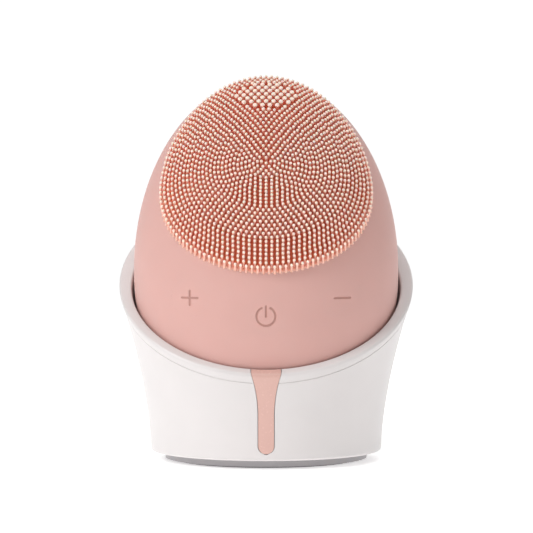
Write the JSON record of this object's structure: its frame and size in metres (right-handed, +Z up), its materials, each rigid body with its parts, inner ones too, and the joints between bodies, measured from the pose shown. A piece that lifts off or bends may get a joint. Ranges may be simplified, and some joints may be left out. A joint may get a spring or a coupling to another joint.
{
  "type": "facial cleansing brush",
  "caption": "Egg-shaped silicone facial cleansing brush with a sloping bristle face and press keys, standing in a flared cradle with a tilted rim and an inlaid strip.",
  "frame": {"origin": "centre of the anti-slip pad's underside, on the surface that the cradle stands on", "axes": "+Z up; the bristles, keys and inlay strip face -Y; +X is to the right when looking along +Y"},
  "size_m": [0.0806, 0.0698, 0.1051],
  "materials": {
    "white_plastic": "satin white moulded ABS",
    "pink_plastic": "satin pink moulded ABS",
    "grey_plastic": "satin grey moulded ABS",
    "grey_rubber": "matt silicone rubber",
    "plated_steel": "zinc-plated sheet steel",
    "screw_steel": "zinc-plated screw steel",
    "board_green": "solder mask over glass-fibre board",
    "socket_steel": "nickel-plated sheet steel",
    "copper_coil": "enamelled copper winding",
    "ferrite": "pressed ferrite sheet",
    "pink_silicone": "matt silicone rubber",
    "bristle_silicone": "translucent silicone bristles",
    "casing_plastic": "moulded ABS",
    "gasket_rubber": "silicone rubber",
    "frame_plastic": "glass-filled nylon",
    "motor_steel": "drawn steel can",
    "battery_wrap": "shrink-wrapped cell",
    "switch_plastic": "moulded nylon",
    "weight_brass": "sintered tungsten-brass"
  },
  "bodies": {
    "cradle": {"outer_shell": "white_plastic", "inner_cup": "white_plastic", "inlay_strip": "pink_plastic", "base_plate": "grey_plastic", "anti_slip_pad": "grey_rubber", "ballast_plate": "plated_steel", "base_screws": "screw_steel", "stand_circuit_board": "board_green", "usb_socket": "socket_steel", "transmitter_coil": "copper_coil", "transmitter_ferrite": "ferrite"},
    "handset": {"silicone_sleeve": "pink_silicone", "bristle_pad": "bristle_silicone", "front_shell": "casing_plastic", "rear_shell": "casing_plastic", "shell_gasket": "gasket_rubber", "shell_screws": "screw_steel", "inner_frame": "frame_plastic", "frame_screws": "screw_steel", "main_circuit_board": "board_green", "board_screws": "screw_steel", "power_switch": "switch_plastic", "plus_switch": "switch_plastic", "minus_switch": "switch_plastic", "motor_can": "motor_steel", "motor_boot": "gasket_rubber", "battery": "battery_wrap", "receiver_coil": "copper_coil", "receiver_ferrite": "ferrite"},
    "motor_rotor": {"motor_shaft": "screw_steel", "eccentric_weight": "weight_brass"},
    "power_button": {"power_key": "pink_silicone", "power_switch_stem": "switch_plastic"},
    "plus_button": {"plus_key": "pink_silicone", "plus_switch_stem": "switch_plastic"},
    "minus_button": {"minus_key": "pink_silicone", "minus_switch_stem": "switch_plastic"}
  },
  "joints": [
    {"name": "lift_off", "type": "slide", "parent": "cradle", "child": "handset", "axis": [0, 0, 1], "range_m": [0, 0.11]},
    {"name": "power_press", "type": "slide", "parent": "handset", "child": "power_button", "axis": [0, 1, 0], "range_m": [0, 0.0004], "stiffness_N_per_m": 1500},
    {"name": "plus_press", "type": "slide", "parent": "handset", "child": "plus_button", "axis": [0, 1, 0], "range_m": [0, 0.0004], "stiffness_N_per_m": 1500},
    {"name": "minus_press", "type": "slide", "parent": "handset", "child": "minus_button", "axis": [0, 1, 0], "range_m": [0, 0.0004], "stiffness_N_per_m": 1500},
    {"name": "rotor_spin", "type": "hinge", "parent": "handset", "child": "motor_rotor", "pos_m": [0, -0.0039, 0.07], "axis": [0, 0, 1], "continuous": true}
  ]
}
